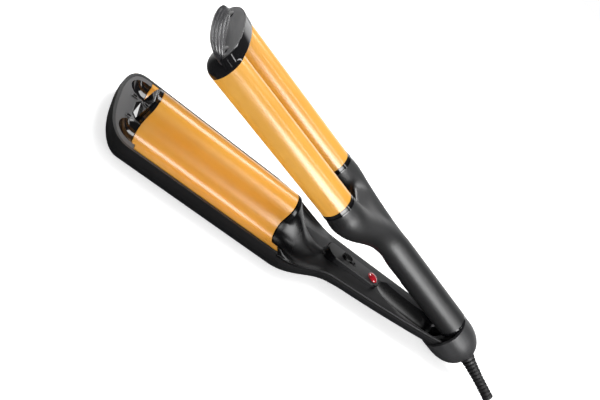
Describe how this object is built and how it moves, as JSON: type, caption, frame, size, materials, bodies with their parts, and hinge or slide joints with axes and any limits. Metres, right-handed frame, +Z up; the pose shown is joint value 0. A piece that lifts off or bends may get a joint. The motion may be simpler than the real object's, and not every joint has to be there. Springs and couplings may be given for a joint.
{
  "type": "hair waver",
  "caption": "Hinged hair waver: round heated barrels on a sprung upper arm close into a wave-shaped plate; slide switch, red lamp and turning strain relief.",
  "frame": {"origin": "middle of the object's length and width at rest, on the plane under the lower arm's head", "axes": "+X from the heated end to the cord end, +Y across to the far barrel, +Z up; the arms are sprung open"},
  "size_m": [0.3558, 0.0788, 0.1035],
  "materials": {
    "shell_black": "fine satin moulded finish",
    "deck_grey": "satin",
    "gloss_black": "high gloss",
    "gold_ceramic": "glossy ceramic coating",
    "inner_plastic": "plain moulded",
    "aluminium": "extruded",
    "heater_ceramic": "white fired ceramic",
    "steel": "plain",
    "board_green": "lacquered board",
    "red_lens": "clear tinted",
    "lamp_clear": "clear",
    "satin_black": "satin",
    "ring_grey": "satin",
    "cap_grey": "satin",
    "boot_rubber": "ribbed"
  },
  "bodies": {
    "lower_arm": {"lower_shell": "shell_black", "nose_deck": "deck_grey", "ridge_nose": "gloss_black", "wave_plate": "gold_ceramic", "plate_frame": "inner_plastic", "heater_saddles": "aluminium", "plate_heaters": "heater_ceramic", "thermal_cutout": "steel", "neck_deck": "shell_black", "hinge_bracket": "inner_plastic", "switch_panel": "shell_black", "switch_body": "inner_plastic", "circuit_board": "board_green", "indicator_lens": "red_lens", "indicator_lamp": "lamp_clear", "shell_screws": "steel", "hinge_pin": "steel", "pin_clips": "steel", "return_spring": "steel"},
    "upper_arm": {"barrel_near": "gold_ceramic", "barrel_far": "gold_ceramic", "barrel_heaters": "heater_ceramic", "heater_springs": "aluminium", "barrel_collars": "gloss_black", "fork_shell": "satin_black", "fork_underside": "satin_black", "fork_screws": "steel", "nose_cap": "gloss_black", "handle_ring": "ring_grey", "hinge_block": "inner_plastic", "rear_cap": "cap_grey", "swivel_retainer": "inner_plastic"},
    "slide_knob": {"switch_knob": "gloss_black"},
    "cord_boot": {"cord_swivel": "inner_plastic", "strain_relief": "boot_rubber"}
  },
  "joints": [
    {"name": "arm_hinge", "type": "hinge", "parent": "lower_arm", "child": "upper_arm", "pos_m": [0.12403, 0, 0.022], "axis": [0, -1, 0], "range_deg": [0, 13], "stiffness_Nm_per_rad": 2, "springref_deg": -20.05},
    {"name": "switch_slide", "type": "slide", "parent": "lower_arm", "child": "slide_knob", "axis": [1, 0, 0], "range_m": [0, 0.004]},
    {"name": "boot_swivel", "type": "hinge", "parent": "upper_arm", "child": "cord_boot", "pos_m": [0.13831, 0, 0.01983], "axis": [0.8172, -0.5446, -0.1887], "continuous": true}
  ]
}
